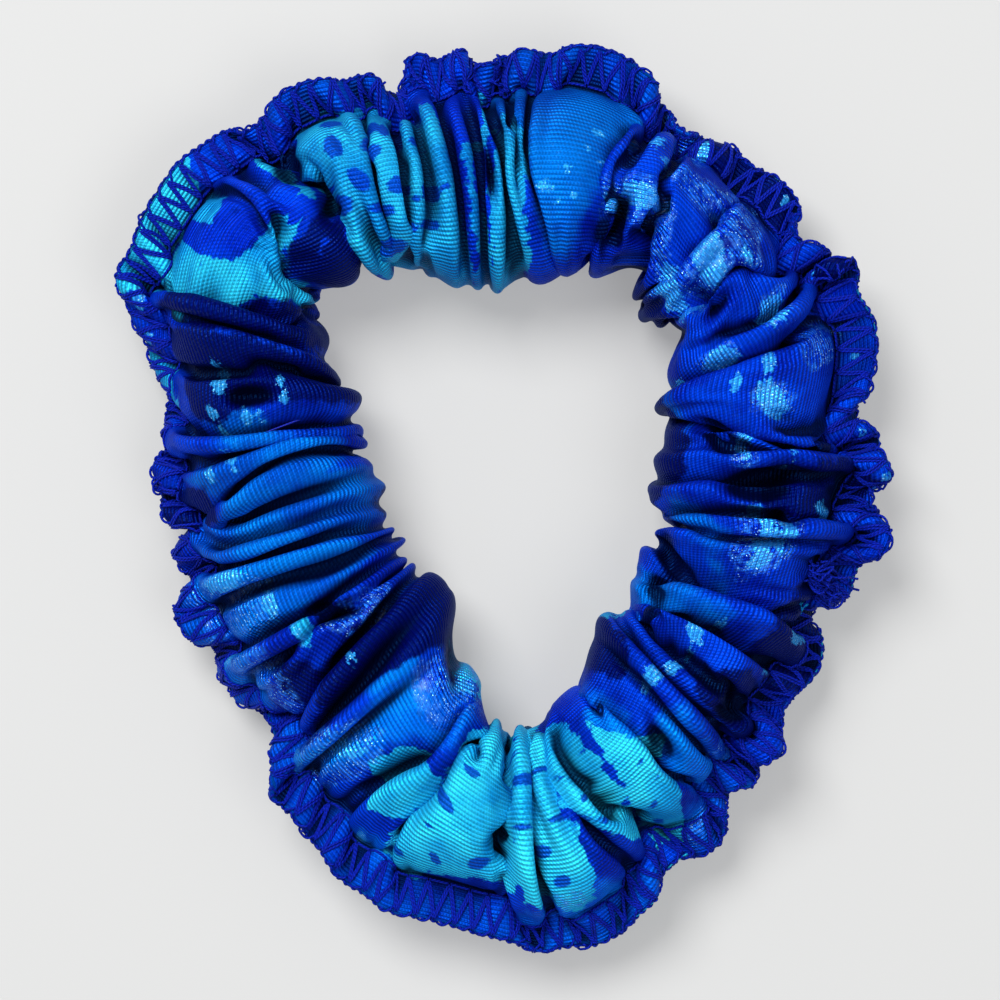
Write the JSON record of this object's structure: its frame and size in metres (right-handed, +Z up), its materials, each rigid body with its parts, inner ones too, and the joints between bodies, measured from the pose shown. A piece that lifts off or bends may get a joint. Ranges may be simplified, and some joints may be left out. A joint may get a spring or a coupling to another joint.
{
  "type": "hair scrunchie",
  "caption": "Gathered stretch-fabric ring over a braided elastic loop, with an overlocked outer edge, for tying back hair.",
  "frame": {"origin": "middle of the bounding box, on the plane the ring lies on", "axes": "+Z up out of the table, +Y the long way of the egg-shaped ring, +X to the right seen from above"},
  "size_m": [0.096, 0.1125, 0.0196],
  "materials": {
    "foil_fabric": "glossy stretch tricot printed in blotches from bright turquoise through royal blue to navy, with foil-like shiny patches",
    "overlock_thread": "matte textured polyester thread, dark royal blue, slightly fuzzy",
    "elastic_braid": "matte white braided yarn",
    "rubber_cord": "matte natural latex",
    "elastic_join_thread": "matte white polyester thread"
  },
  "bodies": {
    "root": {"cover_fabric": "foil_fabric", "cover_end_seam_stitches": "overlock_thread", "overlock_needle_thread": "overlock_thread", "overlock_upper_looper_thread": "overlock_thread", "overlock_lower_looper_thread": "overlock_thread", "overlock_thread_tail": "overlock_thread", "elastic_braid": "elastic_braid", "elastic_rubber_cords": "rubber_cord", "elastic_join_stitches": "elastic_join_thread"}
  },
  "joints": []
}
